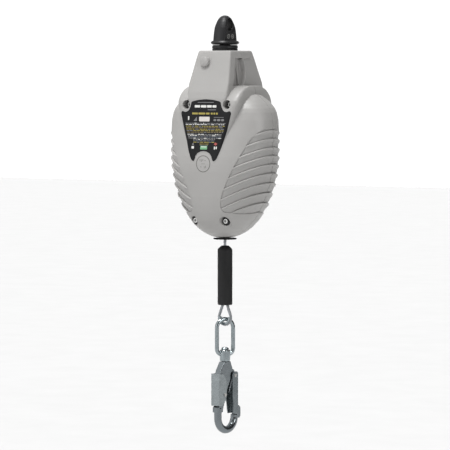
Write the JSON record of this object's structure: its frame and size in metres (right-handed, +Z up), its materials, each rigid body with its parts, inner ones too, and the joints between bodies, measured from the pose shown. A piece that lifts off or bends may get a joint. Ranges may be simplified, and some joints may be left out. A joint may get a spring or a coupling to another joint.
{
  "type": "self retracting lifeline",
  "caption": "Self retracting lifeline: swivel anchor eye, two-piece casing with drum, power spring and pawl brake, wire rope, grip sleeve and swivel snap hook.",
  "frame": {"origin": "centre of the anchor eye's hole", "axes": "+Z up along the swivel axis, -Y towards the labelled front face, +X to the right as seen from the front, along the anchor hole"},
  "size_m": [0.2028, 0.1346, 0.7203],
  "materials": {
    "black_steel": "satin",
    "bronze": "satin",
    "plain_steel": "satin",
    "bright_steel": "gloss",
    "spring_steel": "satin",
    "dark_steel": "matte",
    "black_polymer": "satin",
    "casing_polymer": "satin",
    "seal_rubber": "matte",
    "label_film": "gloss",
    "black_rubber": "matte",
    "wire_rope": "satin",
    "friction_lining": "matte",
    "drum_aluminium": "satin",
    "zinc_steel": "satin"
  },
  "bodies": {
    "anchor": {"anchor_eye": "black_steel", "thrust_washer": "bronze", "shank_nut": "plain_steel", "nut_pin": "plain_steel"},
    "housing": {"top_collar": "black_polymer", "front_casing": "casing_polymer", "rear_casing": "casing_polymer", "casing_seal": "seal_rubber", "face_label": "label_film", "casing_screws": "bright_steel", "casing_inserts": "bronze", "swivel_block": "plain_steel", "front_frame": "plain_steel", "rear_frame": "plain_steel", "frame_spacers": "plain_steel", "block_bolts": "plain_steel", "main_shaft": "bright_steel", "shaft_nuts": "plain_steel", "shaft_spacer": "plain_steel", "spring_cup": "plain_steel", "power_spring": "spring_steel", "outlet_guide": "black_polymer", "outlet_bumper": "black_rubber", "cable_lead": "wire_rope", "front_lining": "friction_lining", "rear_lining": "friction_lining", "pressure_plate": "plain_steel", "brake_screws": "plain_steel"},
    "drum": {"cable_drum": "drum_aluminium", "drum_bushes": "bronze", "wound_cable": "wire_rope", "spring_arbor": "plain_steel", "pawl_pins": "bright_steel", "pawl_springs": "spring_steel"},
    "pawl_upper": {"pawl_a": "dark_steel"},
    "pawl_lower": {"pawl_b": "dark_steel"},
    "brake": {"brake_disc": "bronze"},
    "lifeline": {"paid_out_cable": "wire_rope", "rope_loop": "wire_rope", "ferrule": "drum_aluminium", "thimble": "zinc_steel", "grip_sleeve": "black_rubber"},
    "bail": {"swivel_bail": "zinc_steel"},
    "hook": {"hook_body": "zinc_steel", "swivel_rivet": "zinc_steel", "gate_pin": "zinc_steel", "gate_spring": "spring_steel", "lock_pin": "zinc_steel", "lock_spring": "spring_steel"},
    "hook_gate": {"gate": "zinc_steel"},
    "hook_lock": {"lock_lever": "zinc_steel"}
  },
  "joints": [
    {"name": "casing_swivel", "type": "hinge", "parent": "anchor", "child": "housing", "pos_m": [0, 0, -0.06], "axis": [0, 0, 1], "continuous": true},
    {"name": "drum_spin", "type": "hinge", "parent": "housing", "child": "drum", "pos_m": [0, 0, -0.215], "axis": [0, 1, 0], "range_deg": [0, 1650]},
    {"name": "pawl_upper_swing", "type": "hinge", "parent": "drum", "child": "pawl_upper", "pos_m": [0, 0, -0.187], "axis": [0, -1, 0], "range_deg": [0, 22], "stiffness_Nm_per_rad": 0.05, "springref_deg": -22.92},
    {"name": "pawl_lower_swing", "type": "hinge", "parent": "drum", "child": "pawl_lower", "pos_m": [0, 0, -0.243], "axis": [0, -1, 0], "range_deg": [0, 22], "stiffness_Nm_per_rad": 0.05, "springref_deg": -22.92},
    {"name": "brake_slip", "type": "hinge", "parent": "housing", "child": "brake", "pos_m": [0, 0, -0.215], "axis": [0, 1, 0], "continuous": true},
    {"name": "line_payout", "type": "slide", "parent": "housing", "child": "lifeline", "axis": [0, 0, -1], "range_m": [0, 2], "stiffness_N_per_m": 5, "springref_m": -5, "deforming": ["paid_out_cable"]},
    {"name": "bail_swing", "type": "hinge", "parent": "lifeline", "child": "bail", "pos_m": [0, 0, -0.5213], "axis": [0.8572, -0.515, 0], "range_deg": [-50, 50]},
    {"name": "hook_swivel", "type": "hinge", "parent": "bail", "child": "hook", "pos_m": [0, 0, -0.57], "axis": [0, 0, 1], "continuous": true},
    {"name": "gate_open", "type": "hinge", "parent": "hook", "child": "hook_gate", "pos_m": [0.00178, 0.01691, -0.604], "axis": [-0.9945, 0.1045, 0], "range_deg": [0, 18], "stiffness_Nm_per_rad": 0.5, "springref_deg": -22.92},
    {"name": "lock_squeeze", "type": "hinge", "parent": "hook", "child": "hook_lock", "pos_m": [-0.00105, -0.00995, -0.636], "axis": [-0.9945, 0.1045, 0], "range_deg": [0, 7], "stiffness_Nm_per_rad": 0.5, "springref_deg": -17.19}
  ],
  "couplings": [
    {"joint": "drum_spin", "follows": "line_payout", "rad_per_m": 14.399}
  ]
}
